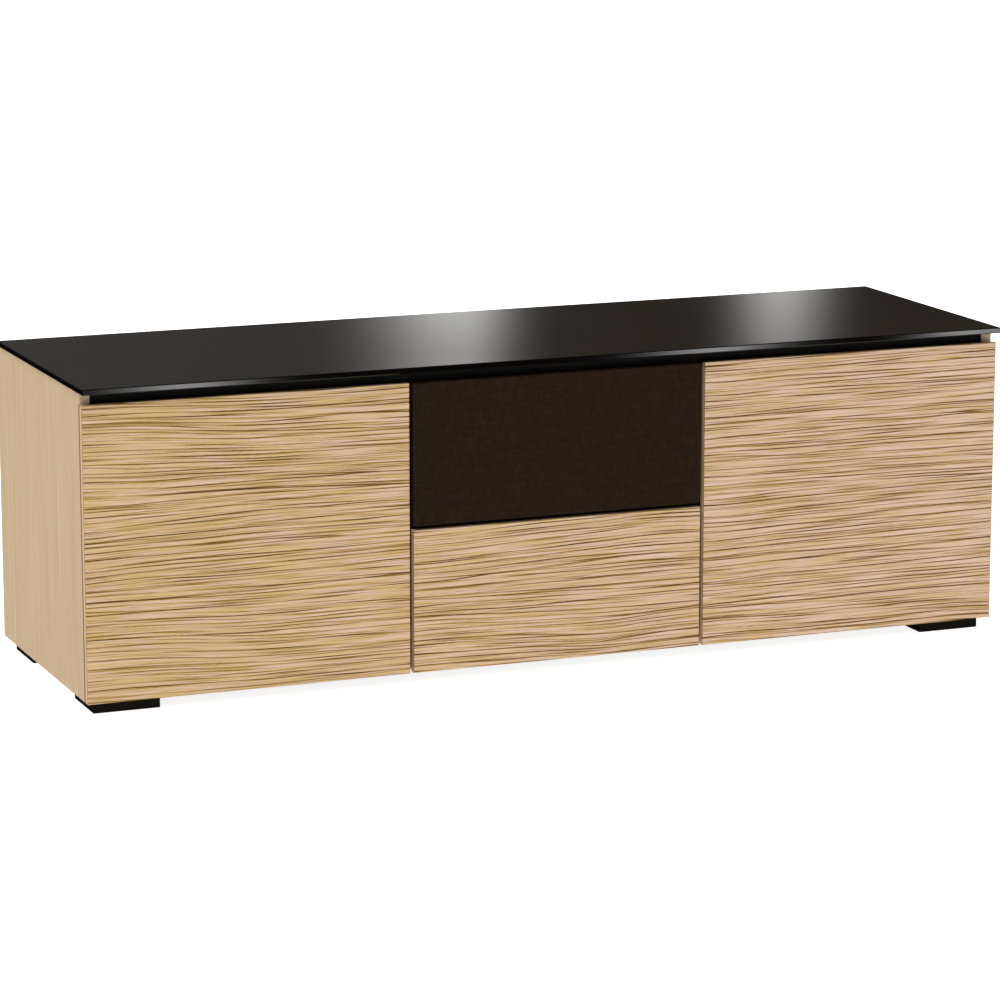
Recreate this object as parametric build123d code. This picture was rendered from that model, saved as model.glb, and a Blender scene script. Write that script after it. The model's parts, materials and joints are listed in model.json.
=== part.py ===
from build123d import *
import os

# Low television console: three bays side by side under a black glass top.
# Two outer doors, a speaker-cloth grille over a drawer in the middle.
# Millimetres. X runs to the right, Y to the back, Z up.
# Origin: middle of the footprint, on the floor.

# ---- driving dimensions -------------------------------------------------
BODY_WIDTH = 1664          # over the two side panels
BODY_DEPTH = 524           # front faces to the back edge of the side panels
GLASS_OVERHANG_FRONT = 10
GLASS_OVERHANG_SIDE = 3
GLASS_SETBACK_REAR = 14    # the glass ends short of the side panels
GLASS_THICK = 10
FOOT_HEIGHT = 21
FRONT_HEIGHT = 496         # doors, from foot top to door top
TOP_BAND = 17              # black edge seen between doors and side tops
BUMPER_THICK = 1
BOARD = 19                 # carcass boards
FRONT_GAP = 7              # between neighbouring fronts
CENTRE_FRONT_WIDTH = 526   # drawer front and grille
DRAWER_FRONT_HEIGHT = 245
FACE_THICK = 4             # carved oak face board
CORE_THICK = 12.5          # backing board of every front
REVEAL = 3.5               # between a front's back and the carcass

# ---- planes worked out from them -----------------------------------------
FRONT_THICK = FACE_THICK + CORE_THICK
FACE_Y = -(BODY_DEPTH + GLASS_OVERHANG_FRONT) / 2 + GLASS_OVERHANG_FRONT
CARCASS_V = FRONT_THICK + REVEAL            # carcass front edge, behind the faces
SIDE_IN = BODY_WIDTH / 2 - BOARD            # inner face of a side panel
FRONT_TOP = FOOT_HEIGHT + FRONT_HEIGHT
SIDE_TOP = FRONT_TOP + TOP_BAND
SUB_TOP_Z = SIDE_TOP - BOARD                # underside of the sub-top
GLASS_Z = SIDE_TOP + BUMPER_THICK
FLOOR_TOP = FOOT_HEIGHT + BOARD             # upper face of the bottom panel
CENTRE_HALF = CENTRE_FRONT_WIDTH / 2
DOOR_IN = CENTRE_HALF + FRONT_GAP           # inner edge of a door
PARTITION_MID = CENTRE_HALF + FRONT_GAP / 2
PARTITION_IN = PARTITION_MID - BOARD / 2
PARTITION_OUT = PARTITION_MID + BOARD / 2
DRAWER_TOP = FOOT_HEIGHT + DRAWER_FRONT_HEIGHT
GRILLE_Z = DRAWER_TOP + FRONT_GAP
DIVIDER_MID = DRAWER_TOP + FRONT_GAP / 2
BACK_THICK = 5
SCREW_HEAD = 1.6
BACK_V = BODY_DEPTH - BACK_THICK - 2        # front face of the back panels

# ---- smaller sizes --------------------------------------------------------
SUB_TOP_SETBACK = 4        # sub-top behind the side panels' front edge
RAIL_DROP, RAIL_THICK = 14, 16              # rail under the sub-top's front edge
BOTTOM_SETBACK = 15        # finger room behind the drawer front's lower edge
EDGE_ROUND = 1.0
GLASS_BEVEL = 1.5
FINGER_BEVEL = 6
FOOT_X, FOOT_Y = 115, 110
FOOT_SIDE_INSET, FOOT_FRONT_V, FOOT_REAR_GAP = 14, 21, 26

HINGE_Z = (FOOT_HEIGHT + 80, FRONT_TOP - 80)
PIVOT_U, PIVOT_V = 6, 12.5                  # from a door's outer edge, from its face
DOOR_BACK_ROUND = 2
CUP_U, CUP_R, CUP_DEPTH, CUP_WALL = 19.5, 17.5, 11, 0.9
PIN_R, PIN_LENGTH, PIN_FIT = 1.2, 17.0, 0.05
EYE_R, EYE_WIDTH = 2.0, 7
ARM_THICK, ARM_WIDTH, ARM_BACK_V = 2, 9, 78
PLATE_THICK = 3

SLIDE_LENGTH, SLIDE_THICK, SLIDE_HEIGHT, SLIDE_SHEET = 450, 12.7, 45, 1.2
SLIDE_Z = 150
BOX_SIDE, BOX_Z0, BOX_Z1, BOX_BACK_V = 12, 62, 232, 470
BOX_FLOOR = 6
SHELF_UNDER = 260
PIN_ROW_V = (77, 455)
PIN_PITCH, PIN_HOLES = 32, 5
PEG_IN_WALL, PEG_OUT, SHELF_PEG_R = 9, 8, 2.5
SHELF_V0, SHELF_V1, SHELF_PLAY = 45, 500, 1.5
FOOT_FIX_R, FOOT_FIX_HEAD_R, FOOT_FIX_HEAD, FOOT_FIX_GRIP = 2.5, 5, 3, 15
FOOT_BORE_R, FOOT_BORE = 6, 6
GLIDE_V = (150, 400)
GLIDE_R, GLIDE_HEIGHT, GLIDE_STEM_R, GLIDE_ROUND = 22, 12, 5, 3
PAD_R = 6
PAD_X, PAD_V = (790, PARTITION_MID - 60), (50, 480)

CABLE_HOLE_R, GROMMET_R, GROMMET_LIP, GROMMET_LIP_THICK = 30, 27, 36, 1.5
CABLE_HOLE_Z = 120

os.makedirs("parts", exist_ok=True)


# ---- helpers --------------------------------------------------------------
def slab(x0, x1, v0, v1, z0, z1):
    """A box between two corners; v is the distance behind the front faces."""
    lo_x, hi_x = min(x0, x1), max(x0, x1)
    middle = ((lo_x + hi_x) / 2, FACE_Y + (v0 + v1) / 2, (z0 + z1) / 2)
    return Pos(*middle) * Box(hi_x - lo_x, v1 - v0, z1 - z0)


def rod_x(x0, x1, v, z, radius):
    lo_x, hi_x = min(x0, x1), max(x0, x1)
    place = Pos((lo_x + hi_x) / 2, FACE_Y + v, z) * Rot(0, 90, 0)
    return place * Cylinder(radius, hi_x - lo_x)


def rod_v(x, v0, v1, z, radius):
    return Pos(x, FACE_Y + (v0 + v1) / 2, z) * Rot(90, 0, 0) * Cylinder(radius, v1 - v0)


def rod_z(x, v, z0, z1, radius):
    return Pos(x, FACE_Y + v, (z0 + z1) / 2) * Cylinder(radius, z1 - z0)


def cut(body, tools):
    for tool in tools:
        body = body - tool
    return body


def upright_edges(body):
    return body.edges().filter_by(Axis.Z)


def save(name, solids):
    """Write one node: a single solid, or a group of separate ones."""
    pieces = solids if isinstance(solids, list) else [solids]
    flat = [solid for piece in pieces for solid in piece.solids()]
    shape = flat[0] if len(flat) == 1 else Compound(children=flat)
    export_step(shape, "parts/" + name + ".step")


def screw(kind, head_r, shank_r, start, length, at):
    """Pan-head screw along an axis; start is the seat, length is signed."""
    head = SCREW_HEAD if length > 0 else -SCREW_HEAD
    if kind == "x":
        shank = rod_x(start, start + length, *at, shank_r)
        return rod_x(start - head, start, *at, head_r) + shank
    x, z = at
    far = start + length
    front = rod_v(x, min(start - head, start), max(start - head, start), z, head_r)
    return front + rod_v(x, min(start, far), max(start, far), z, shank_r)


# ---- carcass fasteners, made first so that the boards can be bored for them
def cam_places():
    """End (+1 right, -1 left), x of the joint, board's mid height, depths."""
    for end in (-1, 1):
        for height in (FOOT_HEIGHT + BOARD / 2, SIDE_TOP - BOARD / 2):
            for v in (90, 440):
                yield end, end * SIDE_IN, height, v
        for v in (90, 440):
            yield end, end * PARTITION_IN, DIVIDER_MID, v


CAM_BACKSET, CAM_R, CAM_THICK, BOLT_R, BOLT_GRIP = 24, 7.5, 12, 3, 11
SLOT_LENGTH, SLOT_WIDTH, SLOT_DEPTH = 10, 1.5, 1
cam_locks, cam_bolts, lock_holes = [], [], []
for end, joint_x, height, v in cam_places():
    cam_x = joint_x - end * CAM_BACKSET
    faces_up = height < DIVIDER_MID
    cam_low = height + BOARD / 2 - CAM_THICK if faces_up else height - BOARD / 2
    slot_low = cam_low + CAM_THICK - SLOT_DEPTH if faces_up else cam_low
    hole = rod_z(cam_x, v, cam_low, cam_low + CAM_THICK, CAM_R)
    slot = slab(cam_x - SLOT_LENGTH / 2, cam_x + SLOT_LENGTH / 2,
                v - SLOT_WIDTH / 2, v + SLOT_WIDTH / 2, slot_low, slot_low + SLOT_DEPTH)
    bolt = rod_x(cam_x, joint_x + end * BOLT_GRIP, v, height, BOLT_R)
    lock_holes.append(hole)
    cam_locks.append(hole - slot)
    cam_bolts.append(bolt - hole)

# countersunk flush screws through the top and bottom boards into the partitions
FLUSH_R, FLUSH_HEAD_R, FLUSH_HEAD, FLUSH_LENGTH = 3.2, 6, 3, 50
partition_screws = []
for side in (-1, 1):
    for v in (80, 450):
        x = side * PARTITION_MID
        for seat, way in ((SIDE_TOP, -1), (FOOT_HEIGHT, 1)):
            neck, tip = seat + way * FLUSH_HEAD, seat + way * FLUSH_LENGTH
            head = rod_z(x, v, min(seat, neck), max(seat, neck), FLUSH_HEAD_R)
            shank = rod_z(x, v, min(neck, tip), max(neck, tip), FLUSH_R)
            partition_screws.append(head + shank)

# plain round pegs that carry the shelves
PEG_Z = SHELF_UNDER - SHELF_PEG_R
shelf_pins = []
for side in (-1, 1):
    for wall, inward in ((side * SIDE_IN, -side), (side * PARTITION_OUT, side)):
        for v in PIN_ROW_V:
            peg = rod_x(wall - inward * PEG_IN_WALL, wall + inward * PEG_OUT, v, PEG_Z, SHELF_PEG_R)
            shelf_pins.append(peg)


def pin_holes(wall, inward):
    """Rows of shelf-pin holes in one wall face."""
    holes = []
    for v in PIN_ROW_V:
        for step in range(PIN_HOLES):
            z = PEG_Z + (step - PIN_HOLES // 2) * PIN_PITCH
            holes.append(rod_x(wall - inward * PEG_IN_WALL, wall, v, z, SHELF_PEG_R))
    return holes


# ---- hinges -----------------------------------------------------------------
def hinge(side, z):
    """Concealed cup hinge on one stile, as its separate pieces."""
    outer = side * BODY_WIDTH / 2

    def at(u):
        return outer - side * u

    back = FRONT_THICK
    cup = rod_v(at(CUP_U), back - CUP_DEPTH, back, z, CUP_R)
    flange = slab(at(9), at(44), back, back + 1, z - 26, z + 26)
    cup = cup + flange
    cup = cup - rod_v(at(CUP_U), back - CUP_DEPTH + CUP_WALL, back + 2, z, CUP_R - CUP_WALL)
    pin = rod_z(at(PIVOT_U), PIVOT_V, z - PIN_LENGTH / 2, z + PIN_LENGTH / 2, PIN_R)
    cup = cup - pin
    cup_screws = [screw("v", 3.5, 1.75, back + 1, -11, (at(CUP_U + 5.5), z + dz))
                  for dz in (-21.5, 21.5)]
    cup = cut(cup, cup_screws)

    neck = BOARD + PLATE_THICK
    arm = rod_z(at(PIVOT_U), PIVOT_V, z - EYE_WIDTH / 2, z + EYE_WIDTH / 2, EYE_R)
    arm += slab(at(PIVOT_U), at(neck + ARM_THICK), PIVOT_V - ARM_THICK / 2, PIVOT_V + ARM_THICK / 2,
                z - EYE_WIDTH / 2, z + EYE_WIDTH / 2)
    arm += slab(at(neck), at(neck + ARM_THICK), PIVOT_V - ARM_THICK / 2, ARM_BACK_V,
                z - EYE_WIDTH / 2, z + EYE_WIDTH / 2)
    arm += slab(at(neck), at(neck + ARM_THICK), 30, ARM_BACK_V, z - ARM_WIDTH / 2, z + ARM_WIDTH / 2)
    for lip in (-1, 1):
        mid = z + lip * (ARM_WIDTH / 2 + 1)
        arm += slab(at(neck), at(neck + 7), 30, ARM_BACK_V - 6, mid - 1, mid + 1)
    arm = arm - rod_z(at(PIVOT_U), PIVOT_V, z - EYE_WIDTH, z + EYE_WIDTH, PIN_R + PIN_FIT)
    plate = slab(at(BOARD), at(neck), 36, ARM_BACK_V, z - 7, z + 7)
    plate += slab(at(BOARD), at(BOARD + 1.5), 50, 66, z - 23, z + 23)
    clamp_grip = PLATE_THICK + ARM_THICK - 0.5
    clamp = screw("x", 3.2, 2, at(neck + ARM_THICK), side * clamp_grip, (70, z))
    plate_screws = [screw("x", 3.5, 1.75, at(BOARD + 1.5), side * 12, (58, z + dz))
                    for dz in (-17.5, 17.5)]
    plate = cut(plate, plate_screws + [clamp])
    arm = arm - clamp
    return cup, pin, cup_screws, arm, plate, plate_screws + [clamp]


def door(side, name):
    """One door leaf with its hinge cups; returns the carcass-side hinge pieces."""
    outer, inner = side * BODY_WIDTH / 2, side * DOOR_IN
    cups, pins, cup_screws, arms, plates, fixings = [], [], [], [], [], []
    for z in HINGE_Z:
        cup, pin, screws, arm, plate, fixing = hinge(side, z)
        cups.append(cup)
        pins.append(pin)
        cup_screws += screws
        arms.append(arm)
        plates.append(plate)
        fixings += fixing

    core = slab(inner, outer, FACE_THICK, FRONT_THICK, FOOT_HEIGHT, FRONT_TOP)
    top_back = core.edges().filter_by(Axis.X).group_by(Axis.Z)[-1].sort_by(Axis.Y)[-1]
    core = chamfer(top_back, FINGER_BEVEL)
    back_corner = upright_edges(core).group_by(Axis.Y)[-1].sort_by(Axis.X)[-1 if side > 0 else 0]
    core = fillet(back_corner, DOOR_BACK_ROUND)
    for z in HINGE_Z:
        core = core - rod_v(outer - side * CUP_U, FRONT_THICK - CUP_DEPTH, FRONT_THICK, z, CUP_R)
    core = cut(core, cup_screws + pins)

    face = slab(inner, outer, 0, FACE_THICK, FOOT_HEIGHT, FRONT_TOP)
    face = fillet(face.edges().group_by(Axis.Y)[0], EDGE_ROUND)

    bumpers = [rod_v(inner + side * 3.2, FRONT_THICK, FRONT_THICK + REVEAL - 0.4, z, 2.5)
               for z in (FOOT_HEIGHT + 40, SUB_TOP_Z - 30)]
    save(name + "_door_core", core)
    save(name + "_door_face", face)
    save(name + "_hinge_cups", cups)
    save(name + "_hinge_pins", pins)
    save(name + "_hinge_cup_screws", cup_screws)
    save(name + "_door_bumpers", bumpers)
    save(name + "_hinge_arms", arms)
    save(name + "_hinge_plates", plates)
    return fixings


hinge_fixings = {}
for side, name in ((-1, "left"), (1, "right")):
    hinge_fixings[side] = door(side, name)
save("hinge_plate_screws", hinge_fixings[-1] + hinge_fixings[1])


# ---- drawer slides ----------------------------------------------------------
def channel(side, t_web, t_tip, half_height, v0, v1):
    """C channel: web at t_web, flanges out to t_tip, t counted from the partition."""
    def at(t):
        return side * (PARTITION_IN - t)

    thick = SLIDE_SHEET if t_tip > t_web else -SLIDE_SHEET
    body = slab(at(t_web), at(t_web + thick), v0, v1, SLIDE_Z - half_height, SLIDE_Z + half_height)
    for edge in (-1, 1):
        z_out = SLIDE_Z + edge * half_height
        z_in = z_out - edge * SLIDE_SHEET
        body += slab(at(t_web), at(t_tip), v0, v1, min(z_out, z_in), max(z_out, z_in))
    return body


SLIDE_V = FRONT_THICK + REVEAL + 2
OUTER_H, MIDDLE_H, INNER_H = SLIDE_HEIGHT / 2, 20.7, 18.0
slide_outers, slide_middles, slide_inners, slide_screws, slide_inner_screws = [], [], [], [], []
for side in (-1, 1):
    outer = channel(side, 0, 8, OUTER_H, SLIDE_V, SLIDE_V + SLIDE_LENGTH)
    middle = channel(side, 4, 10, MIDDLE_H, SLIDE_V, SLIDE_V + SLIDE_LENGTH)
    inner = channel(side, SLIDE_THICK, 7, INNER_H, SLIDE_V, SLIDE_V + SLIDE_LENGTH)
    for v in (60, 250, 440):
        fix = screw("x", 3, 1.75, side * (PARTITION_IN - SLIDE_SHEET), side * 14, (v, SLIDE_Z))
        slide_screws.append(fix)
        outer = outer - fix
    for v in (75, 235, 425):
        seat = side * (PARTITION_IN - SLIDE_THICK + SLIDE_SHEET)
        fix = screw("x", 3, 1.75, seat, -side * 11, (v, SLIDE_Z))
        slide_inner_screws.append(fix)
        inner = inner - fix
    slide_outers.append(outer)
    slide_middles.append(middle)
    slide_inners.append(inner)
save("drawer_slide_outers", slide_outers)
save("drawer_slide_middles", slide_middles)
save("drawer_slide_inners", slide_inners)

# ---- drawer -----------------------------------------------------------------
BOX_HALF = PARTITION_IN - SLIDE_THICK
front_screws = [screw("v", 3.5, 2, FRONT_THICK + BOX_SIDE, -(BOX_SIDE + 9), (x, z))
                for x in (-200, 200) for z in (BOX_Z0 + 40, BOX_Z1 - 30)]
GROOVE = 6
floor_z = BOX_Z0 + 8
drawer_floor = slab(-BOX_HALF + BOX_SIDE - GROOVE, BOX_HALF - BOX_SIDE + GROOVE,
                    FRONT_THICK + BOX_SIDE - GROOVE, BOX_BACK_V - BOX_SIDE + GROOVE,
                    floor_z, floor_z + BOX_FLOOR)
box_front = slab(-BOX_HALF + BOX_SIDE, BOX_HALF - BOX_SIDE, FRONT_THICK, FRONT_THICK + BOX_SIDE,
                 BOX_Z0, BOX_Z1)
box_back = slab(-BOX_HALF + BOX_SIDE, BOX_HALF - BOX_SIDE, BOX_BACK_V - BOX_SIDE, BOX_BACK_V,
                BOX_Z0, BOX_Z1)
front_core = slab(-CENTRE_HALF, CENTRE_HALF, FACE_THICK, FRONT_THICK, FOOT_HEIGHT, DRAWER_TOP)
front_face = slab(-CENTRE_HALF, CENTRE_HALF, 0, FACE_THICK, FOOT_HEIGHT, DRAWER_TOP)
front_face = fillet(front_face.edges().group_by(Axis.Y)[0], EDGE_ROUND)
save("drawer_front_core", cut(front_core, front_screws))
save("drawer_front_face", front_face)
save("drawer_box_front", cut(box_front, front_screws) - drawer_floor)
save("drawer_box_back", box_back - drawer_floor)
save("drawer_floor", drawer_floor)
for side, name in ((-1, "left"), (1, "right")):
    wall = slab(side * (BOX_HALF - BOX_SIDE), side * BOX_HALF, FRONT_THICK, BOX_BACK_V, BOX_Z0, BOX_Z1)
    wall = fillet(wall.edges().filter_by(Axis.Y).group_by(Axis.Z)[-1], 2)
    save("drawer_" + name + "_side", cut(wall - drawer_floor, slide_inner_screws))
save("drawer_screws", front_screws + slide_inner_screws)

# ---- grille -------------------------------------------------------------------
CLOTH_THICK, FRAME_BORDER, GRILLE_ROUND = 1, 34, 5
PEG_R, PEG_LENGTH, PEG_ROOT = 3, 17, 8
SOCKET_FIT, SOCKET_SIZE, SOCKET_DEPTH = 0.05, 20, 18


def grille_block(inset, v0, v1):
    """Rounded block, inset from the grille's outline."""
    block = slab(-CENTRE_HALF + inset, CENTRE_HALF - inset, v0, v1,
                 GRILLE_Z + inset, FRONT_TOP - inset)
    return fillet(block.edges().filter_by(Axis.Y), GRILLE_ROUND - inset)


frame = grille_block(CLOTH_THICK, CLOTH_THICK, FRONT_THICK)
opening = slab(-CENTRE_HALF + FRAME_BORDER, CENTRE_HALF - FRAME_BORDER, 0, FRONT_THICK,
               GRILLE_Z + FRAME_BORDER, FRONT_TOP - FRAME_BORDER)
frame = frame - fillet(opening.edges().filter_by(Axis.Y), 12)
cloth = grille_block(0, 0, FRONT_THICK)
cloth = cloth - grille_block(CLOTH_THICK, CLOTH_THICK, FRONT_THICK)
peg_places = [(side * (PARTITION_IN - SOCKET_SIZE / 2), z) for side in (-1, 1)
              for z in (DIVIDER_MID + BOARD / 2 + SOCKET_SIZE / 2, SUB_TOP_Z - SOCKET_SIZE / 2)]
pegs, sockets, socket_screws = [], [], []
for x, z in peg_places:
    side = 1 if x > 0 else -1
    tip = FRONT_THICK + PEG_LENGTH
    peg = rod_v(x, FRONT_THICK - PEG_ROOT, tip, z, PEG_R)
    peg = chamfer(peg.edges().group_by(Axis.Y)[-1], 1)
    pegs.append(peg)
    socket = slab(x - SOCKET_SIZE / 2, x + SOCKET_SIZE / 2, CARCASS_V, CARCASS_V + SOCKET_DEPTH,
                  z - SOCKET_SIZE / 2, z + SOCKET_SIZE / 2)
    socket = socket - rod_v(x, CARCASS_V, CARCASS_V + SOCKET_DEPTH - 3, z, PEG_R + SOCKET_FIT)
    fix = screw("x", 3, 1.5, x - side * 6, side * 14, (CARCASS_V + SOCKET_DEPTH - 6, z + 6))
    pocket = rod_x(x - side * SOCKET_SIZE / 2, x - side * 6, CARCASS_V + SOCKET_DEPTH - 6, z + 6, 3)
    socket_screws.append(fix)
    sockets.append(socket - pocket - fix)
save("grille_frame", cut(frame, pegs))
save("grille_cloth", cloth)
save("grille_pegs", pegs)
save("grille_sockets", sockets)
save("slide_and_socket_screws", slide_screws + socket_screws)


# ---- side panels, partitions and boards ---------------------------------------
def bored(board, tools):
    """The board with only the nearby tools cut out of it."""
    box = board.bounding_box()
    for tool in tools:
        other = tool.bounding_box()
        apart = (other.min.X > box.max.X or other.max.X < box.min.X
                 or other.min.Y > box.max.Y or other.max.Y < box.min.Y
                 or other.min.Z > box.max.Z or other.max.Z < box.min.Z)
        if not apart:
            board = board - tool
    return board


fasteners = cam_bolts + partition_screws + slide_screws + socket_screws
for side, name in ((-1, "left"), (1, "right")):
    panel = slab(side * SIDE_IN, side * BODY_WIDTH / 2, CARCASS_V, BODY_DEPTH, FOOT_HEIGHT, SIDE_TOP)
    panel = fillet(upright_edges(panel), EDGE_ROUND)
    holes = pin_holes(side * SIDE_IN, -side)
    save(name + "_side_panel", bored(panel, fasteners + hinge_fixings[side] + shelf_pins + holes))

    partition = slab(side * PARTITION_IN, side * PARTITION_OUT, CARCASS_V, BACK_V, FLOOR_TOP, SUB_TOP_Z)
    holes = pin_holes(side * PARTITION_OUT, side)
    save(name + "_partition", bored(partition, fasteners + shelf_pins + holes))

    shelf = slab(side * (PARTITION_OUT + SHELF_PLAY), side * (SIDE_IN - SHELF_PLAY),
                 SHELF_V0, SHELF_V1, SHELF_UNDER, SHELF_UNDER + BOARD)
    save(name + "_shelf", fillet(shelf.edges().filter_by(Axis.X).group_by(Axis.Y)[0], EDGE_ROUND))

back_screws = []
BACK_PLAY = 0.5
BACK_EDGES = {"left": (-SIDE_IN + BACK_PLAY, -PARTITION_MID - BACK_PLAY),
              "centre": (-PARTITION_MID + BACK_PLAY, PARTITION_MID - BACK_PLAY),
              "right": (PARTITION_MID + BACK_PLAY, SIDE_IN - BACK_PLAY)}
for low_x, high_x in BACK_EDGES.values():
    for z in (FOOT_HEIGHT + BOARD / 2, SIDE_TOP - BOARD / 2):
        for share in (0.08, 0.5, 0.92):
            x = low_x + share * (high_x - low_x)
            back_screws.append(screw("v", 3.5, 1.75, BACK_V + BACK_THICK, -20, (x, z)))

FOOT_CORNERS = {"front_left": (-1, 0), "front_right": (1, 0),
                "rear_left": (-1, 1), "rear_right": (1, 1)}
foot_screws, feet = [], {}
for name, (side, rear) in FOOT_CORNERS.items():
    x_out = side * (BODY_WIDTH / 2 - FOOT_SIDE_INSET)
    x_in = x_out - side * FOOT_X
    v0 = BODY_DEPTH - FOOT_REAR_GAP - FOOT_Y if rear else FOOT_FRONT_V
    foot = slab(x_in, x_out, v0, v0 + FOOT_Y, 0, FOOT_HEIGHT)
    foot = fillet(upright_edges(foot), 2)
    foot = chamfer(foot.edges().group_by(Axis.Z)[0], 1)
    for share_x, share_v in ((0.3, 0.7), (0.7, 0.3)):
        x, v = x_in + share_x * (x_out - x_in), v0 + share_v * FOOT_Y
        seat = FOOT_BORE + FOOT_FIX_HEAD
        fix = rod_z(x, v, seat, FOOT_HEIGHT + FOOT_FIX_GRIP, FOOT_FIX_R)
        fix += rod_z(x, v, FOOT_BORE, seat, FOOT_FIX_HEAD_R)
        foot_screws.append(fix)
        foot = foot - fix - rod_z(x, v, 0, FOOT_BORE, FOOT_BORE_R)
    feet[name] = foot
    save(name + "_foot", foot)

glide_stems, glides = [], []
for v in GLIDE_V:
    stem = rod_z(0, v, GLIDE_HEIGHT / 2, FLOOR_TOP - 4, GLIDE_STEM_R)
    glide_stems.append(stem)
    glide = rod_z(0, v, 0, GLIDE_HEIGHT, GLIDE_R)
    glide = fillet(glide.edges().group_by(Axis.Z)[-1], GLIDE_ROUND)
    glides.append(glide - stem)
save("centre_glides", glides + glide_stems)

RAIL_V = CARCASS_V + SUB_TOP_SETBACK
sub_top = slab(-SIDE_IN, SIDE_IN, RAIL_V, BACK_V, SUB_TOP_Z, SIDE_TOP)
grille_bay = PARTITION_IN - SOCKET_SIZE - 1          # stops short of the grille's sockets
for x0, x1 in ((-SIDE_IN, -PARTITION_OUT), (-grille_bay, grille_bay), (PARTITION_OUT, SIDE_IN)):
    sub_top += slab(x0, x1, RAIL_V, RAIL_V + RAIL_THICK, SUB_TOP_Z - RAIL_DROP, SUB_TOP_Z)
bottom = slab(-SIDE_IN, SIDE_IN, CARCASS_V + BOTTOM_SETBACK, BACK_V, FOOT_HEIGHT, FLOOR_TOP)
divider = slab(-PARTITION_IN, PARTITION_IN, CARCASS_V, BACK_V,
               DIVIDER_MID - BOARD / 2, DIVIDER_MID + BOARD / 2)
board_tools = lock_holes + fasteners + back_screws + foot_screws + glide_stems
save("sub_top", bored(sub_top, board_tools))
save("bottom_panel", bored(bottom, board_tools))
save("centre_divider", bored(divider, board_tools))
save("foot_screws", foot_screws)
save("cam_locks", cam_locks)
save("cam_bolts", cam_bolts)
save("partition_screws", partition_screws)
save("shelf_pins", shelf_pins)

# ---- back panels, with a grommeted cable hole and ventilation slots in each --------
VENT_LENGTH, VENT_WIDTH, VENT_PITCH, VENTS = 70, 7, 22, 9
VENT_TOP = SUB_TOP_Z - 45
grommets = []
for name, (low_x, high_x) in BACK_EDGES.items():
    mid = (low_x + high_x) / 2
    panel = slab(low_x, high_x, BACK_V, BACK_V + BACK_THICK, FOOT_HEIGHT + 1, SIDE_TOP - 1)
    panel = panel - rod_v(mid, BACK_V, BACK_V + BACK_THICK, CABLE_HOLE_Z, CABLE_HOLE_R)
    for step in range(VENTS):
        x = mid + (step - VENTS // 2) * VENT_PITCH
        slot = slab(x - VENT_WIDTH / 2, x + VENT_WIDTH / 2, BACK_V, BACK_V + BACK_THICK,
                    VENT_TOP - VENT_LENGTH, VENT_TOP)
        panel = panel - fillet(slot.edges().filter_by(Axis.Y), VENT_WIDTH / 2 - 0.1)
    save(name + "_back_panel", bored(panel, back_screws))
    ring = rod_v(mid, BACK_V, BACK_V + BACK_THICK, CABLE_HOLE_Z, CABLE_HOLE_R)
    for v0, v1 in ((BACK_V - GROMMET_LIP_THICK, BACK_V),
                   (BACK_V + BACK_THICK, BACK_V + BACK_THICK + GROMMET_LIP_THICK)):
        ring += rod_v(mid, v0, v1, CABLE_HOLE_Z, GROMMET_LIP)
    ring = ring - rod_v(mid, BACK_V - 5, BODY_DEPTH + 5, CABLE_HOLE_Z, GROMMET_R)
    grommets.append(ring)
save("cable_grommets", grommets)
save("back_panel_screws", back_screws)

# ---- glass top and the clear pads that it lies on ------------------------------------
glass_half = BODY_WIDTH / 2 + GLASS_OVERHANG_SIDE
glass = slab(-glass_half, glass_half, -GLASS_OVERHANG_FRONT, BODY_DEPTH - GLASS_SETBACK_REAR,
             GLASS_Z, GLASS_Z + GLASS_THICK)
glass = fillet(upright_edges(glass), 2)
glass = chamfer(glass.edges().group_by(Axis.Z)[-1] + glass.edges().group_by(Axis.Z)[0], GLASS_BEVEL)
save("glass_top", glass)
pads = [rod_z(side * x, v, SIDE_TOP, GLASS_Z, PAD_R) for side in (-1, 1) for x in PAD_X for v in PAD_V]
save("glass_pads", pads)
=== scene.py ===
"""Looks for the console television cabinet: carved oak fronts, speaker cloth, black glass, fittings.

Metres throughout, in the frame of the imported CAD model. Pieces are placed from the CAD nodes' boxes.
"""

import json
import math

import bpy
import numpy as np
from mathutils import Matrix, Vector


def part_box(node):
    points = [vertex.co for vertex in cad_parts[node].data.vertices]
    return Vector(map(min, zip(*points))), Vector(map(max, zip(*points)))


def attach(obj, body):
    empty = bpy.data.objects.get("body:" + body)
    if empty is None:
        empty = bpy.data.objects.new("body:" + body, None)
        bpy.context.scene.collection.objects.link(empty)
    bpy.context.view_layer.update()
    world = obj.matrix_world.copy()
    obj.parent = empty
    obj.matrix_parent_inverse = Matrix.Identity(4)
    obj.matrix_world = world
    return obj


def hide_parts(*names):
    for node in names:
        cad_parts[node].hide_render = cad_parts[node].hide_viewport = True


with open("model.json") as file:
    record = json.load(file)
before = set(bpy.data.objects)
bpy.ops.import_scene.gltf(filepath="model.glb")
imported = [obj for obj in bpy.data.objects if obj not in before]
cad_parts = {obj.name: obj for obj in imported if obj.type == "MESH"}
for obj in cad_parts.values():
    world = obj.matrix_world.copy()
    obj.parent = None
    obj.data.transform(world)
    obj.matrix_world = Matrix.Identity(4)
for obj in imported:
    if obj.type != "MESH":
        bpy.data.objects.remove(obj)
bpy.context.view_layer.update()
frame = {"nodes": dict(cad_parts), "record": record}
NODES = frame["nodes"]
SCENE = bpy.context.scene
MM = 0.001


# ---------------------------------------------------------------- colours and node graphs
def tone(red, green, blue):
    """Linear colour of an 8-bit display colour."""
    parts = [c / 255 for c in (red, green, blue)]
    return [c / 12.92 if c <= 0.04045 else ((c + 0.055) / 1.055) ** 2.4 for c in parts] + [1.0]


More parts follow.
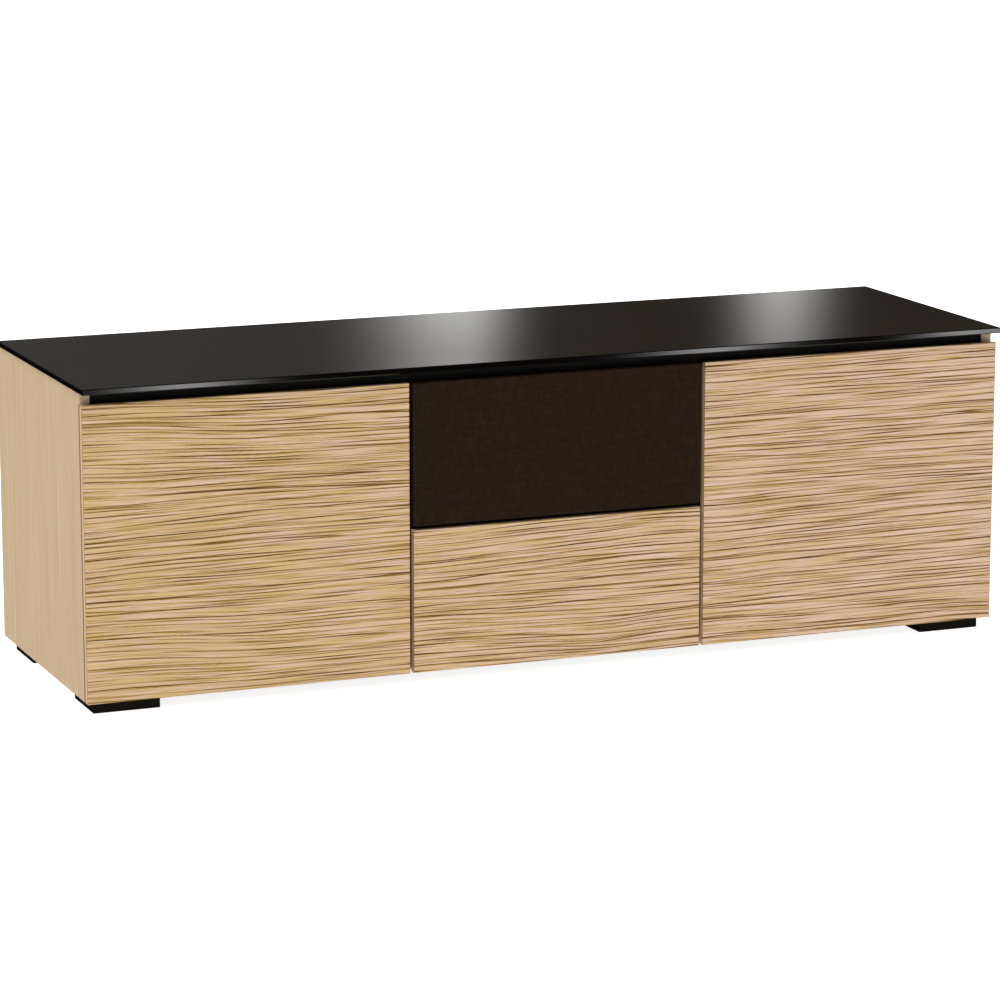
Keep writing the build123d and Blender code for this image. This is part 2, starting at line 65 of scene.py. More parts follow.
def feed(tree, socket, value):
    """Link a socket to another node's output, or set its own value."""
    if isinstance(value, bpy.types.NodeSocket):
        tree.links.new(value, socket)
    else:
        socket.default_value = value


def add_node(tree, kind, inputs=None, **settings):
    """A shader node with its settings, and its inputs by name or by number."""
    made = tree.nodes.new("ShaderNode" + kind)
    for name, value in settings.items():
        setattr(made, name, value)
    for key, value in (inputs or {}).items():
        feed(tree, made.inputs[key], value)
    return made


class Finish:
    """A material with one Principled shader, and short calls for the nodes that drive it."""

    def __init__(self, name, **plain):
        self.material = bpy.data.materials.new(name)
        self.material.use_nodes = True
        self.tree = self.material.node_tree
        self.shader = self.tree.nodes["Principled BSDF"]
        for socket, value in plain.items():
            self.shader.inputs[socket.replace("_", " ")].default_value = value

    def node(self, kind, inputs=None, **settings):
        return add_node(self.tree, kind, inputs, **settings)

    def here(self):
        """The object's own coordinates."""
        return self.node("TexCoord").outputs["Object"]

    def axis(self, letter):
        """One of the object's own coordinates."""
        return self.node("SeparateXYZ", {"Vector": self.here()}).outputs[letter]

    def place(self, scale):
        """The object's own coordinates, scaled."""
        return self.node("Mapping", {"Vector": self.here(), "Scale": scale}).outputs["Vector"]

    def noise(self, where, detail=3.0, rough=0.5, bend=0.0):
        inputs = {"Vector": where, "Scale": 1.0, "Detail": detail, "Roughness": rough, "Distortion": bend}
        return self.node("TexNoise", inputs).outputs["Fac"]

    def carried(self, name):
        """A value stored on the mesh."""
        return self.node("Attribute", attribute_name=name).outputs["Fac"]

    def spread(self, value, low, high, to_low=0.0, to_high=1.0, smooth=False):
        """A value's range from low to high, spread over another range and held at its ends."""
        inputs = {"Value": value, "From Min": low, "From Max": high, "To Min": to_low, "To Max": to_high}
        kind = "SMOOTHSTEP" if smooth else "LINEAR"
        return self.node("MapRange", inputs, interpolation_type=kind).outputs["Result"]

    def add(self, first, second):
        return self.node("Math", {0: first, 1: second}, operation="ADD").outputs["Value"]

    def times(self, first, second):
        return self.node("Math", {0: first, 1: second}, operation="MULTIPLY").outputs["Value"]

    def weigh(self, first, second, share=0.5):
        """The sum of two values, the first with its share and the second with the rest."""
        return self.add(self.times(first, share), self.times(second, 1 - share))

    def mix(self, share, first, second):
        """A colour between two others."""
        made = self.node("Mix", data_type="RGBA")
        sockets = {(socket.name, socket.type): socket for socket in made.inputs}
        feed(self.tree, sockets["Factor", "VALUE"], share)
        feed(self.tree, sockets["A", "RGBA"], first)
        feed(self.tree, sockets["B", "RGBA"], second)
        return next(s for s in made.outputs if s.type == "RGBA")

    def ramp(self, value, *stops):
        """Colours along a value. A stop is a place from 0 to 1 and a colour."""
        made = self.node("ValToRGB", {"Fac": value})
        band = made.color_ramp
        while len(band.elements) < len(stops):
            band.elements.new(0.5)
        for element, (at, colour) in zip(band.elements, stops):
            element.position = at
            element.color = colour
        return made.outputs["Color"]

    def drive(self, socket, value):
        self.tree.links.new(value, self.shader.inputs[socket])

    def bump(self, height, depth, strength=1.0):
        """Fine surface relief, depth in metres."""
        made = self.node("Bump", {"Height": height, "Distance": depth, "Strength": strength})
        self.drive("Normal", made.outputs["Normal"])


# ---------------------------------------------------------------- camera
CAMERA_AT = (-2.581, -6.404, 1.682)
CAMERA_YAW, CAMERA_PITCH = 21.914, 11.723    # degrees right of +Y, and down
CAMERA_LENS, CAMERA_SENSOR = 144.81, 36      # mm

lens = bpy.data.cameras.new("camera")
lens.lens = CAMERA_LENS
lens.sensor_width = CAMERA_SENSOR
camera = bpy.data.objects.new("camera", lens)
camera.location = CAMERA_AT
camera.rotation_euler = (math.radians(90 - CAMERA_PITCH), 0, -math.radians(CAMERA_YAW))
SCENE.collection.objects.link(camera)
SCENE.camera = camera


# ---------------------------------------------------------------- floor
FLOOR_RADIUS, FLOOR_RINGS, FLOOR_STEPS = 14, 12, 48
FLOOR_GLOW = 0.86        # makes the floor as white as the photograph's background


def floor_mesh():
    """A round floor of rings, its top at z = 0."""
    points = [(0, 0, 0)]
    for r in range(1, FLOOR_RINGS + 1):
        radius = FLOOR_RADIUS * r / FLOOR_RINGS
        for s in range(FLOOR_STEPS):
            turn = 2 * math.pi * s / FLOOR_STEPS
            points.append((radius * math.cos(turn), radius * math.sin(turn), 0))
    faces = [(0, 1 + s, 1 + (s + 1) % FLOOR_STEPS) for s in range(FLOOR_STEPS)]
    for r in range(FLOOR_RINGS - 1):
        for s in range(FLOOR_STEPS):
            a, b = 1 + r * FLOOR_STEPS + s, 1 + r * FLOOR_STEPS + (s + 1) % FLOOR_STEPS
            faces.append((a, a + FLOOR_STEPS, b + FLOOR_STEPS, b))
    mesh = bpy.data.meshes.new("floor")
    mesh.from_pydata(points, [], faces)
    return mesh


floor = bpy.data.objects.new("floor", floor_mesh())
SCENE.collection.objects.link(floor)
floor.visible_glossy = False
pale = Finish("floor_pale", Roughness=0.85, Emission_Strength=FLOOR_GLOW,
              Emission_Color=tone(255, 255, 255))
clouds = pale.noise(pale.place((1.3, 1.3, 1.3)), 2)
pale.drive("Base Color", pale.ramp(clouds, (0.3, tone(240, 240, 239)), (0.7, tone(243, 243, 242))))
floor.data.materials.append(pale.material)


# ---------------------------------------------------------------- lamps
def hang(name, data, toward):
    """A lamp that shines along a direction, and that no mirror ray sees."""
    made = bpy.data.objects.new(name, data)
    made.rotation_euler = Vector(toward).to_track_quat("-Z", "Y").to_euler()
    made.visible_glossy = False
    SCENE.collection.objects.link(made)
    return made


def soft_light(name, at, aim, size, power):
    """A rectangular lamp at one point, aimed at another."""
    data = bpy.data.lights.new(name, "AREA")
    data.shape = "RECTANGLE"
    data.size, data.size_y = size
    data.energy = power
    hang(name, data, Vector(aim) - Vector(at)).location = at


sun = bpy.data.lights.new("high_light", "SUN")
sun.energy = 2.0
sun.angle = math.radians(26)
hang("high_light", sun, (0.42, 0.62, -1.05))
soft_light("side_light", (-5.0, -0.6, 2.4), (0, 0, 0.3), (2.0, 2.0), 25)
soft_light("back_light", (1.5, 4.5, 4.0), (0, 0, 0.3), (2.6, 1.6), 70)


# ---------------------------------------------------------------- the studio around
# The camera sees plain white, diffuse light comes from a dome, and mirror rays see a dark room with
# upright panels of light. All angles are in degrees.
DOME = 0.43
world = bpy.data.worlds.new("studio")
SCENE.world = world
world.use_nodes = True
sky = world.node_tree
sky.nodes.clear()


def sky_math(how, *inputs):
    return add_node(sky, "Math", dict(enumerate(inputs)), operation=how).outputs[0]


def total(first, *others):
    for value in others:
        first = sky_math("ADD", first, value)
    return first


def product(first, *others):
    for value in others:
        first = sky_math("MULTIPLY", first, value)
    return first


def lobe(angle, centre, width_low, width_high):
    """A soft upright band of light centred on an angle, with its own width on each side."""
    off = sky_math("SUBTRACT", angle, math.radians(centre))
    below = sky_math("LESS_THAN", off, 0.0)
    wide = total(math.radians(width_high), product(below, math.radians(width_low - width_high)))
    share = sky_math("ABSOLUTE", sky_math("DIVIDE", off, wide))
    return sky_math("EXPONENT", product(sky_math("POWER", share, 2.0), -0.5))


def faded(angle, low, high, at_low, at_high):
    """A level that goes from at_low to at_high as an angle goes from low to high."""
    inputs = (angle, math.radians(low), math.radians(high), at_low, at_high)
    return add_node(sky, "MapRange", dict(enumerate(inputs))).outputs[0]


direction = add_node(sky, "TexCoord").outputs["Generated"]
east, north, up = add_node(sky, "SeparateXYZ", {"Vector": direction}).outputs
azimuth = sky_math("ARCTAN2", east, north)                  # 0 along +Y, positive toward +X
azimuth_front = sky_math("ARCTAN2", east, product(north, -1.0))
elevation = sky_math("ARCSINE", up)

# two tall lights behind the cabinet, that the glass top mirrors as soft bands
behind = total(product(lobe(azimuth, 21.35, 0.75, 0.45), 1.2),
               product(lobe(azimuth, 25.95, 0.42, 0.42), 0.80))
behind = product(behind, faded(elevation, 8.4, 9.6, 1.15, 0.55), faded(elevation, -1.0, 1.0, 0.0, 1.0))
# three low lights in front, that the polished edge of the glass mirrors
ahead = total(lobe(azimuth_front, 17.4, 0.62, 0.55), lobe(azimuth_front, 25.0, 0.55, 0.55),
              lobe(azimuth_front, 28.6, 0.4, 0.6))
ahead = product(ahead, faded(elevation, -3.0, -5.0, 0.0, 5.6))
# a ring of dimmer upright panels round the rest of the room, with a gap behind the cabinet
RING_COUNT, RING_LEVEL, RING_GAP_AT = 16.0, 0.55, 22.0
wavering = sky_math("COSINE", product(azimuth, RING_COUNT))
ring = sky_math("POWER", total(product(wavering, 0.5), 0.5), 4.0)
aside = sky_math("ABSOLUTE", sky_math("SUBTRACT", azimuth, math.radians(RING_GAP_AT)))
ring = product(ring, faded(aside, 12.0, 18.0, 0.0, RING_LEVEL), faded(elevation, 0.0, 3.0, 0.0, 1.0),
               faded(elevation, 30.0, 55.0, 1.0, 0.0))
# the room's own faint light
room = product(faded(azimuth, 15.0, 24.0, 0.075, 0.022), faded(elevation, -4.0, 2.0, 0.0, 1.0))
mirrored = total(total(room, ring), total(behind, ahead))

paths = add_node(sky, "LightPath").outputs
seen = total(product(paths["Is Camera Ray"], 1.0 - DOME), DOME)
level = total(seen, product(paths["Is Glossy Ray"], sky_math("SUBTRACT", mirrored, seen)))
background = add_node(sky, "Background", {"Color": (1, 1, 1, 1), "Strength": level})
sky.links.new(background.outputs[0], add_node(sky, "OutputWorld").inputs[0])
world.cycles.sampling_method = "NONE"
SCENE.view_settings.view_transform = "Standard"


# ---------------------------------------------------------------- finishes
EDGE_BLUR = 0.2 * MM     # over which the painted gap shade on an edge begins


def lengthwise(along, across, with_grain):
    """A pattern's features per metre: many across the grain's axis, few along it."""
    scale = [across] * 3
    scale[along] = with_grain
    return scale


def oak(name, along, light, dark, streak, rough=0.5, fine=1.0, gap_shade=None):
    """Straight-grained oak veneer or birch. along is the grain's axis, 0 for x, 1 for y and 2 for z.

    gap_shade is a y and a z: in front of the first and below the second the board's edge is darker,
    painted shade for the narrow gap beside a door.
    """
    finish = Finish(name, Specular_IOR_Level=0.32)
    lines = finish.noise(finish.place(lengthwise(along, 420.0 * fine, 5.0)), 4, 0.6)
    bands = finish.noise(finish.place(lengthwise(along, 60.0 * fine, 1.6)), 3, 0.55, 0.4)
    pores = finish.noise(finish.place(lengthwise(along, 900.0, 26.0)), 2, 0.5)
    pores = finish.spread(pores, 0.62, 0.74, smooth=True)
    colour = finish.mix(finish.spread(bands, 0.3, 0.7), light, dark)
    colour = finish.mix(finish.spread(lines, 0.35, 0.75, 0.0, 0.75), colour, streak)
    colour = finish.mix(finish.times(pores, 0.22), colour, tone(150, 118, 78))
    # painted shade: the edge darkened in front of y and below z, where the gap beside a door lies in
    # shade
    if gap_shade is not None:
        front = finish.spread(finish.axis("Y"), gap_shade[0], gap_shade[0] + EDGE_BLUR, 1.0, 0.0)
        low = finish.spread(finish.axis("Z"), gap_shade[1], gap_shade[1] + EDGE_BLUR, 1.0, 0.0)
        colour = finish.mix(finish.times(front, low), colour, tone(134, 104, 70))
    finish.drive("Base Color", colour)
    finish.drive("Roughness", finish.spread(lines, 0.3, 0.7, rough - 0.05, rough + 0.08))
    finish.bump(finish.add(lines, finish.times(pores, -0.8)), 0.05 * MM)
    return finish.material


def carved_oak(name):
    """The carved fronts: a tint for each ridge, fine grain along the flow, and dark grooves, partly the
    grooves' own darker tone and partly painted shade.
    """
    finish = Finish(name, Specular_IOR_Level=0.28)
    along, flow = finish.axis("X"), finish.carried("flow")

    def flowing(with_grain, across, detail):
        """Noise that is drawn out along the carved lines."""
        where = {"X": finish.times(along, with_grain), "Y": finish.times(flow, across)}
        return finish.noise(finish.node("CombineXYZ", where).outputs[0], detail, 0.6)

    grain = flowing(14.0, 620.0, 4)
    patch = finish.add(flowing(9.0, 260.0, 3), finish.times(along, -0.06))    # less golden to the right
    colour = finish.mix(finish.spread(patch, 0.44, 0.6), tone(199, 174, 158), tone(190, 163, 112))
    low_ridge = finish.spread(finish.carried("ridge"), 0.15, 0.85, 0.4, 0.0)
    colour = finish.mix(low_ridge, colour, tone(168, 137, 90))
    colour = finish.mix(finish.spread(grain, 0.42, 0.72, 0.0, 0.4), colour, tone(166, 132, 86))
    # painted shade: the grooves darken toward deep brown, the wood's own darker tone with shade painted
    # into the recesses
    groove = finish.carried("groove")
    colour = finish.mix(finish.spread(groove, 0.02, 0.4, 0.0, 0.9, True), colour, tone(136, 101, 30))
    colour = finish.mix(finish.spread(groove, 0.3, 0.8, 0.0, 0.95, True), colour, tone(57, 35, 5))
    finish.drive("Base Color", colour)
    finish.drive("Roughness", finish.spread(grain, 0.3, 0.7, 0.5, 0.62))
    finish.bump(grain, 0.12 * MM)
    return finish.material


def speckled(name, low, high, rough, tooth_scale, depth=0.03 * MM, **plain):
    """A moulded, painted or laminated surface with a fine tooth and slight colour variation."""
    finish = Finish(name, **plain)
    tooth = finish.noise(finish.place((tooth_scale,) * 3), 2, 0.5)
    cloud = finish.noise(finish.place((9, 9, 9)), 3, 0.6)
    finish.drive("Base Color", finish.ramp(finish.weigh(tooth, cloud, 0.45), (0.35, low), (0.65, high)))
    finish.drive("Roughness", finish.spread(cloud, 0.3, 0.7, rough - 0.05, rough + 0.06))
    finish.bump(tooth, depth)
    return finish.material


def metal(name, low, high, rough, drawn):
    """Plated steel: mottled, half-dull plating. drawn is the drawing lines' scale along each axis."""
    finish = Finish(name, Metallic=0.45)
    lines = finish.noise(finish.place(drawn), 3, 0.6)
    cloud = finish.noise(finish.place((60, 60, 60)), 3, 0.6)
    finish.drive("Base Color", finish.ramp(finish.weigh(lines, cloud), (0.35, low), (0.65, high)))
    finish.drive("Roughness", finish.spread(lines, 0.3, 0.7, rough - 0.08, rough + 0.1))
    finish.bump(lines, 0.015 * MM)
    return finish.material


def glass(name):
    """Black back-painted glass, polished, with the faintest haze and darker edges."""
    finish = Finish(name, IOR=1.5, Specular_IOR_Level=0.5)
    haze = finish.noise(finish.place((3.0, 3.0, 3.0)), 3, 0.6)
    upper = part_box("glass_top")[1].z
    on_top = finish.spread(finish.axis("Z"), upper - 0.3 * MM, upper - 0.1 * MM)
    face = finish.ramp(haze, (0.3, tone(38, 31, 24)), (0.7, tone(42, 35, 27)))
    finish.drive("Base Color", finish.mix(on_top, tone(7, 6, 6), face))
    finish.drive("Roughness", finish.spread(haze, 0.3, 0.7, 0.018, 0.03))
    return finish.material


def cloth(name):
    """Dark acoustic cloth: threads over and under, some heavier than others."""
    finish = Finish(name, Roughness=0.9, Specular_IOR_Level=0.2, Sheen_Weight=0.09, Sheen_Roughness=0.5,
                    Sheen_Tint=tone(120, 90, 70))
    threads = 2 * math.pi / (1.5 * MM)      # radians per metre, for one over and under in 1.5 mm
    slub_across = finish.noise(finish.place((60, 60, 420)), 3, 0.6)
    slub_up = finish.noise(finish.place((420, 60, 60)), 3, 0.6)

    def wavy(letter, slub):
        phase = finish.add(finish.times(finish.axis(letter), threads), finish.times(slub, 2.0))
        return finish.node("Math", {0: phase}, operation="SINE").outputs["Value"]

    weave = finish.spread(finish.times(wavy("X", slub_across), wavy("Z", slub_up)), -1.0, 1.0)
    colour = finish.ramp(finish.weigh(slub_across, slub_up),
                         (0.36, tone(27, 16, 8)), (0.5, tone(34, 21, 11)), (0.64, tone(45, 28, 15)))
    colour = finish.mix(finish.spread(weave, 0.0, 1.0, 0.35, 0.0), colour, tone(19, 11, 6))
    finish.drive("Base Color", colour)
    finish.bump(weave, 0.25 * MM, 0.8)
    return finish.material


# the side panels' front edges get painted shade beside the doors, for the narrow gap there: 1.2 mm deep,
# up to 2 mm under a door's top
DOOR_GAP_SHADE = (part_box("left_side_panel")[0].y + 1.2 * MM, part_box("left_door_core")[1].z - 2 * MM)
OAK_CORE = (tone(206, 180, 148), tone(195, 167, 132), tone(182, 150, 110))
OAK_PANEL = (tone(198, 176, 148), tone(187, 163, 130), tone(170, 143, 108))
BIRCH = (tone(232, 206, 164), tone(222, 194, 150), tone(208, 176, 130), 0.42, 0.8)
FINISHES = {
    "oak_face": carved_oak("oak_face"),
    "oak_core": oak("oak_core", 0, *OAK_CORE),
    "oak_panel": oak("oak_panel", 2, *OAK_PANEL, gap_shade=DOOR_GAP_SHADE),
    "black_glass": glass("black_glass"),
    "black_laminate": speckled("black_laminate", tone(11, 11, 10), tone(16, 15, 14), 0.5, 700,
                               Specular_IOR_Level=0.25),
    "black_hardboard": speckled("black_hardboard", tone(26, 25, 24), tone(36, 34, 32), 0.7, 450,
                                0.08 * MM),
    "black_frame": speckled("black_frame", tone(20, 19, 18), tone(28, 26, 25), 0.6, 600, 0.05 * MM),
    "speaker_cloth": cloth("speaker_cloth"),
    "black_plastic": speckled("black_plastic", tone(26, 26, 26), tone(34, 34, 34), 0.45, 1100,
                              0.04 * MM),
    "black_foot": speckled("black_foot", tone(15, 8, 3), tone(21, 12, 5), 0.6, 800, 0.05 * MM,
                           Specular_IOR_Level=0.2),
    "clear_pad": speckled("clear_pad", tone(196, 197, 192), tone(212, 213, 208), 0.35, 500, 0.02 * MM,
                          Subsurface_Weight=0.2),
    "birch": oak("birch", 0, *BIRCH),
    "zinc_steel": metal("zinc_steel", tone(176, 178, 180), tone(206, 206, 204), 0.32, (12, 500, 500)),
    "pin_steel": metal("pin_steel", tone(180, 180, 182), tone(204, 204, 204), 0.2, (500, 500, 30)),
    "screw_steel": metal("screw_steel", tone(176, 178, 182), tone(208, 208, 206), 0.3, (400, 400, 400)),
    "black_screw": metal("black_screw", tone(34, 34, 36), tone(52, 52, 54), 0.4, (400, 400, 400)),
}
# the drawer's sides have their grain from front to back
birch_lengthwise = oak("birch_lengthwise", 1, *BIRCH)
TURNED = {"drawer_left_side": birch_lengthwise, "drawer_right_side": birch_lengthwise}
SLOTS = {part["node"]: part["material_slot"] for part in frame["record"]["subparts"]}
for name, node in NODES.items():
    node.data.materials.clear()
    node.data.materials.append(TURNED.get(name, FINISHES[SLOTS[name]]))


def add_piece(name, mesh, slot, body, node):
    """A visual piece that rides on a body and stands for a CAD node."""
    piece = bpy.data.objects.new(name, mesh)
    SCENE.collection.objects.link(piece)
    mesh.materials.append(FINISHES[slot])
    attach(piece, body)
    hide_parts(node)
    return piece


# ---------------------------------------------------------------- the carved fronts, in mm
FACE_BACK_GAP = 0.05     # between a carved board and the core that it is glued to
DEEPEST = 3.5            # the carving never goes deeper
EDGE_EASE = 1.2          # radius of the eased edges
EDGE_STEPS = (0.0, 0.3, 0.7, 1.2, 1.9)       # the mesh's lines near an edge
INNER_FROM = 2.8         # where its even steps begin
STEP_ACROSS, STEP_UP = 4.4, 0.76             # the even steps along x and z
MARGIN = 45.0            # the rows of grooves begin and end this far outside the board
TILT = 0.02              # a groove's own slope, at most

# the sways that all lines share: the spacing of their changes up and along, and their height
SWAYS = ((120, 190, 6.0), (70, 120, 2.2))
# two layers of grooves. pitch is the rise from one line to the next, run the length over which a line
# changes, bend its own waviness, cut its depth and width its half width; strong is a line's usual
# strength, how much it changes along its length, and how much lines differ from each other
LAYERS = (
    {"pitch": (4.7, 7.0), "run": 90, "bend": 1.1, "cut": 1.6, "width": 0.42,
     "strong": (0.6, 0.45, 0.08)},
    {"pitch": (2.3, 3.3), "run": 70, "bend": 0.6, "cut": 0.7, "width": 0.33,
     "strong": (0.28, 0.36, 0.05)},
)
REACH = 25               # beyond this distance from its line a groove cuts nothing


def wave(rng, at, spacing, amplitude):
    """A smooth random line: a Catmull-Rom curve through random heights, spacing apart."""
    steps = (at - at.min()) / spacing + rng.uniform(1, 2)
    knots = rng.uniform(-amplitude, amplitude, int(steps.max()) + 4)
    i = np.floor(steps).astype(int)
    f = steps - i
    a, b, c, d = knots[i - 1], knots[i], knots[i + 1], knots[i + 2]
    return b + 0.5 * f * (c - a + f * (2 * a - 5 * b + 4 * c - d + f * (3 * (b - c) + d - a)))


def patches(rng, rise, along, high, wide):
    """Smooth random patches, 0 to 1, in cells high by wide."""
    s, t = (rise - rise.min()) / high, (along - along.min()) / wide
    knots = rng.random((int(s.max()) + 3, int(t.max()) + 3))
    i, j = np.floor(s).astype(int), np.floor(t).astype(int)
    f, g = s - i, t - j
    f, g = f * f * (3 - 2 * f), g * g * (3 - 2 * g)
    low = knots[i, j] * (1 - g) + knots[i, j + 1] * g
    return low * (1 - f) + (knots[i + 1, j] * (1 - g) + knots[i + 1, j + 1] * g) * f


def grooves(rng, x, z, shift, pitch, run, bend, strong, cut, width):
    """Rows of grooves from below the board to above it: their depths, and how dark they are, partly their
    own tone and partly painted shade.
    """
    middle = x - x.mean()
    carved = np.zeros((len(z), len(x)))
    dark = np.zeros_like(carved)
    usual, changes, between = strong
    level = -MARGIN
    while level < z.max() + MARGIN:
        line = level + shift(level) + rng.uniform(-TILT, TILT) * middle
        line = line + wave(rng, x, 2 * run, 1.6 * bend) + wave(rng, x, 0.7 * run, 0.5 * bend)
        strength = wave(rng, x, run, changes) + rng.uniform(-between, between) + usual
        strength = np.clip(strength, 0.0, 1.0)
        level += rng.uniform(*pitch)
        rows = np.abs(z - line.mean()) < np.ptp(line) + REACH
        off = np.abs(z[rows, None] - line[None, :])
        core = np.exp(-(off / (width * (1 + 0.9 * strength))) ** 1.8)
        shoulder = np.exp(-off / (4.2 * width))
        carved[rows] = np.maximum(carved[rows], cut * strength * (0.5 * core + 0.5 * shoulder))
        # the groove's darkness, its own tone with painted shade
        dark[rows] = np.maximum(dark[rows], strength * core)
    return carved, dark


def carving(rng, x, z, slopes):
    """The carved grain of a front, x and z from its lower left corner.

    slopes are the grain's rise per unit length at heights 100 mm apart. Returns, per row and column,
    the depth, how dark the groove is (its own tone with painted shade), a ridge tint, and the level of
    the carved line at that point.
    """
    middle = x - x.mean()
    levels = np.arange(-60, z.max() + 61, 5.0)
    window = np.hanning(21) / np.hanning(21).sum()
    slope = np.interp(levels, np.arange(len(slopes)) * 100.0, slopes)
    slope = np.convolve(np.pad(slope, 10, mode="edge"), window, "valid")
    sways = [(wave(rng, levels, rise, 1.0), wave(rng, x, run, height)) for rise, run, height in SWAYS]

    def shift(level):
        """How far the line of a level lies above it, along x."""
        moved = np.interp(level, levels, slope) * middle
        for up_share, along_x in sways:
            moved = moved + np.interp(level, levels, up_share) * along_x
        return moved

    depth = np.zeros((len(z), len(x)))
    groove = np.zeros_like(depth)
    for layer in LAYERS:
        carved, dark = grooves(rng, x, z, shift, **layer)
        depth += carved
        groove = np.maximum(groove, dark)
    flow = z[:, None] - np.array([shift(level) for level in z])
    along = np.broadcast_to(x[None], flow.shape)
    ridge = 0.4 * patches(rng, flow, along, 4.5, 110) + 0.6 * patches(rng, flow, along, 2.4, 70)
    depth += 0.2 * patches(rng, flow, along, 2.4, 60) + 0.15 * patches(rng, flow, along, 7.0, 90)
    return depth, groove, ridge, flow


def eased(size, step):
    """Positions across a board: close together at both edges, about a step apart between."""
    edge = np.array(EDGE_STEPS)
    count = max(2, round((size - 2 * INNER_FROM) / step) + 1)
    return np.concatenate([edge, np.linspace(INNER_FROM, size - INNER_FROM, count), size - edge[::-1]])


def edge_drop(at):
    """How far a board's face falls back at its eased edges."""
    near = np.minimum(at, at.max() - at)
    inside = np.clip(EDGE_EASE - near, 0, EDGE_EASE)
    return EDGE_EASE - np.sqrt(EDGE_EASE ** 2 - inside ** 2)


def board_faces(rows, columns):
    """The faces of a closed board, and the front points of its rim.

    The points are the front's grid, row by row from below, and then the rim's again at the back.
    """
    grid = np.arange(rows * columns).reshape(rows, columns)
    rim = np.concatenate([grid[0], grid[1:, -1], grid[-1, -2::-1], grid[-2:0:-1, 0]])
    front = np.stack([grid[:-1, :-1], grid[:-1, 1:], grid[1:, 1:], grid[1:, :-1]], -1).reshape(-1, 4)
    back = rows * columns + np.arange(len(rim))
    sides = np.stack([rim, back, np.roll(back, -1), np.roll(rim, -1)], -1)
    bottom, right = back[:columns], back[columns - 1:columns + rows - 1]
    top = back[columns + rows - 2:2 * columns + rows - 2]
    left = np.append(back[2 * columns + rows - 3:], back[0])[::-1]      # upward, as right is
    faces = front.tolist() + sides.tolist()
    faces.append([*bottom[::-1].tolist(), int(left[1]), int(right[1])])
    for k in range(1, rows - 2):
        faces.append([int(right[k]), int(left[k]), int(left[k + 1]), int(right[k + 1])])
    faces.append([*top[::-1].tolist(), int(right[rows - 2]), int(left[rows - 2])])
    return faces, rim


def carved_board(name, node, body, seed, slopes):
    """A closed board with the carving on its front, in the place of a plain CAD face."""
    low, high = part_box(node)
    x = eased((high.x - low.x) / MM, STEP_ACROSS)
    z = eased((high.z - low.z) / MM, STEP_UP)
    depth, groove, ridge, flow = carving(np.random.default_rng(seed), x, z, slopes)
    depth = np.minimum(depth + np.maximum(edge_drop(x)[None], edge_drop(z)[:, None]), DEEPEST)
    front = np.stack([np.broadcast_to(low.x + x[None] * MM, depth.shape), low.y + depth * MM,
                      np.broadcast_to(low.z + z[:, None] * MM, depth.shape)], -1).reshape(-1, 3)
    faces, rim = board_faces(*depth.shape)
    rim_back = front[rim].copy()
    rim_back[:, 1] = high.y - FACE_BACK_GAP * MM
    mesh = bpy.data.meshes.new(name)
    mesh.from_pydata(np.concatenate([front, rim_back]).tolist(), [], faces)
    groove, ridge, flow = groove.reshape(-1), ridge.reshape(-1), flow.reshape(-1) * MM
    darkest_at_back = np.ones(len(rim))                       # the board's sides darken toward the back, all round
    for label, at_front, at_back in (("groove", groove, darkest_at_back), ("ridge", ridge, ridge[rim]),
                                     ("flow", flow, flow[rim])):
        store = mesh.attributes.new(label, "FLOAT", "POINT")
        store.data.foreach_set("value", np.concatenate([at_front, at_back]).astype(np.float32))
    mesh.shade_smooth()
    mesh.set_sharp_from_angle(angle=math.radians(60))
    add_piece(name, mesh, "oak_face", body, node)


carved_board("left_door_carving", "left_door_face", "left_door", 11,
             (0.0, -0.03, 0.01, -0.003, -0.042, -0.008))
carved_board("right_door_carving", "right_door_face", "right_door", 12,
             (-0.018, 0.008, 0.022, -0.012, 0.008, 0.015))
carved_board("drawer_carving", "drawer_front_face", "drawer", 13, (0.005, -0.015, 0.016, -0.01))


# ---------------------------------------------------------------- the speaker cloth, in mm
CLOTH_ROLL = 3.0         # radius over the frame's front edge
CLOTH_CORNER = 5.0       # radius of the grille's corners
CORNER_LEAST = 0.3       # radius that the inner rings' corners keep
CLOTH_HEM = 8.0          # turned over onto the back of the frame
CLOTH_THICK = 0.8
CLOTH_DISH = 1.2         # how far the cloth gives at the middle of the opening
FRAME_BORDER = 34.0      # of frame behind the cloth's edge
FRONT_INSETS = (100, 84, 70, 58, 48, 40, 34, 28, 20, 12, 7, 4.5)
CORNERS = ((1, -1), (1, 1), (-1, 1), (-1, -1))
SIDE_STEPS = (12, 24, 12, 24)        # along the side that follows each corner
CORNER_STEPS, CORNER_TURN = 7, 15    # points round a corner, and degrees between them


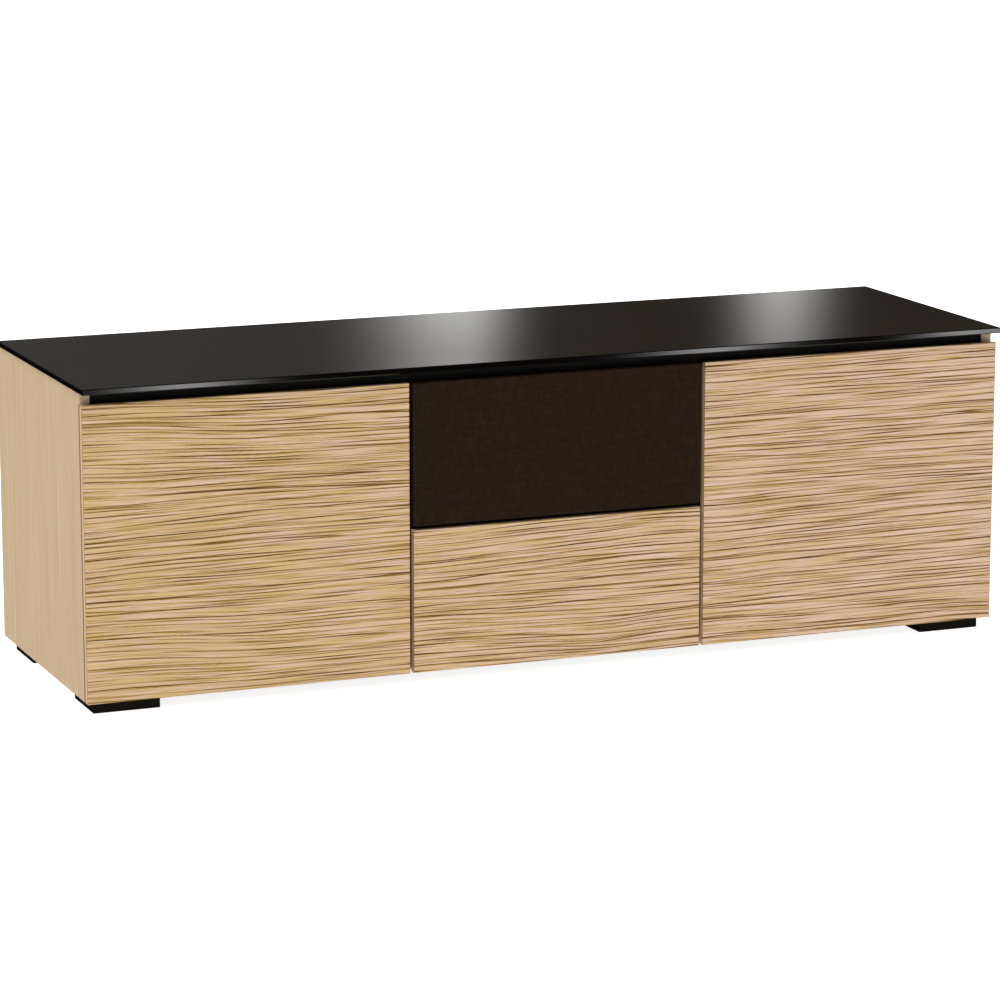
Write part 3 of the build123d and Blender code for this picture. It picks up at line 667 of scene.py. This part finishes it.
def outline(half_x, half_z, radius, y):
    """Points round a rectangle with rounded corners, always the same count."""
    radius = max(radius, CORNER_LEAST)

    def on_corner(corner, degrees):
        side_x, side_z = CORNERS[corner % 4]
        turn = math.radians(degrees)
        return Vector((side_x * (half_x - radius) + radius * math.cos(turn), y,
                       side_z * (half_z - radius) + radius * math.sin(turn)))

    points = []
    for corner, steps in enumerate(SIDE_STEPS):
        first = 90 * corner - 90
        points += [on_corner(corner, first + CORNER_TURN * step) for step in range(CORNER_STEPS)]
        start, end = points[-1], on_corner(corner + 1, first + 90)
        points += [start.lerp(end, k / steps) for k in range(1, steps)]
    return points


def cloth_rings(half_z, deep):
    """The cloth's rings from the middle of its front, over the edge, to the hem: inset and depth."""
    rings = []
    for inset in (half_z - 3, *FRONT_INSETS):
        share = min(1.0, max(0.0, (inset - FRAME_BORDER) / (half_z - FRAME_BORDER)))
        rings.append((inset, CLOTH_DISH * share * (2 - share)))
    for degrees in range(0, 91, 15):
        turn = math.radians(degrees)
        rings.append((CLOTH_ROLL * (1 - math.sin(turn)), CLOTH_ROLL * (1 - math.cos(turn))))
    rings += [(0, 6.0), (0, 9.5), (0, 13.0), (0, deep - 0.6), (0.2, deep + 0.2)]
    behind_frame = deep + CLOTH_THICK
    return rings + [(0.8, behind_frame), (CLOTH_HEM / 2, behind_frame), (CLOTH_HEM, behind_frame)]


def stretched_cloth(name, body, node):
    """The cloth over the grille's frame, one sheet from hem to hem."""
    low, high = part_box(node)
    half_x, half_z = (high.x - low.x) / 2 / MM, (high.z - low.z) / 2 / MM
    deep = (high.y - low.y) / MM
    middle = Vector(((low.x + high.x) / 2, low.y, (low.z + high.z) / 2))
    rings = [outline(half_x - inset, half_z - inset, CLOTH_CORNER - inset, y)
             for inset, y in cloth_rings(half_z, deep)]
    size = len(rings[0])
    faces = []
    for r in range(len(rings) - 1):
        for k in range(size):
            a, b = r * size + k, r * size + (k + 1) % size
            faces.append((a, a + size, b + size, b))
    faces.append(tuple(range(size)))
    mesh = bpy.data.meshes.new(name)
    mesh.from_pydata([tuple(middle + point * MM) for ring in rings for point in ring], [], faces)
    mesh.shade_smooth()
    sheet = add_piece(name, mesh, "speaker_cloth", body, node)
    thick = sheet.modifiers.new("thickness", "SOLIDIFY")
    thick.thickness = CLOTH_THICK * MM
    thick.offset = -1


stretched_cloth("grille_cloth_stretched", "grille", "grille_cloth")
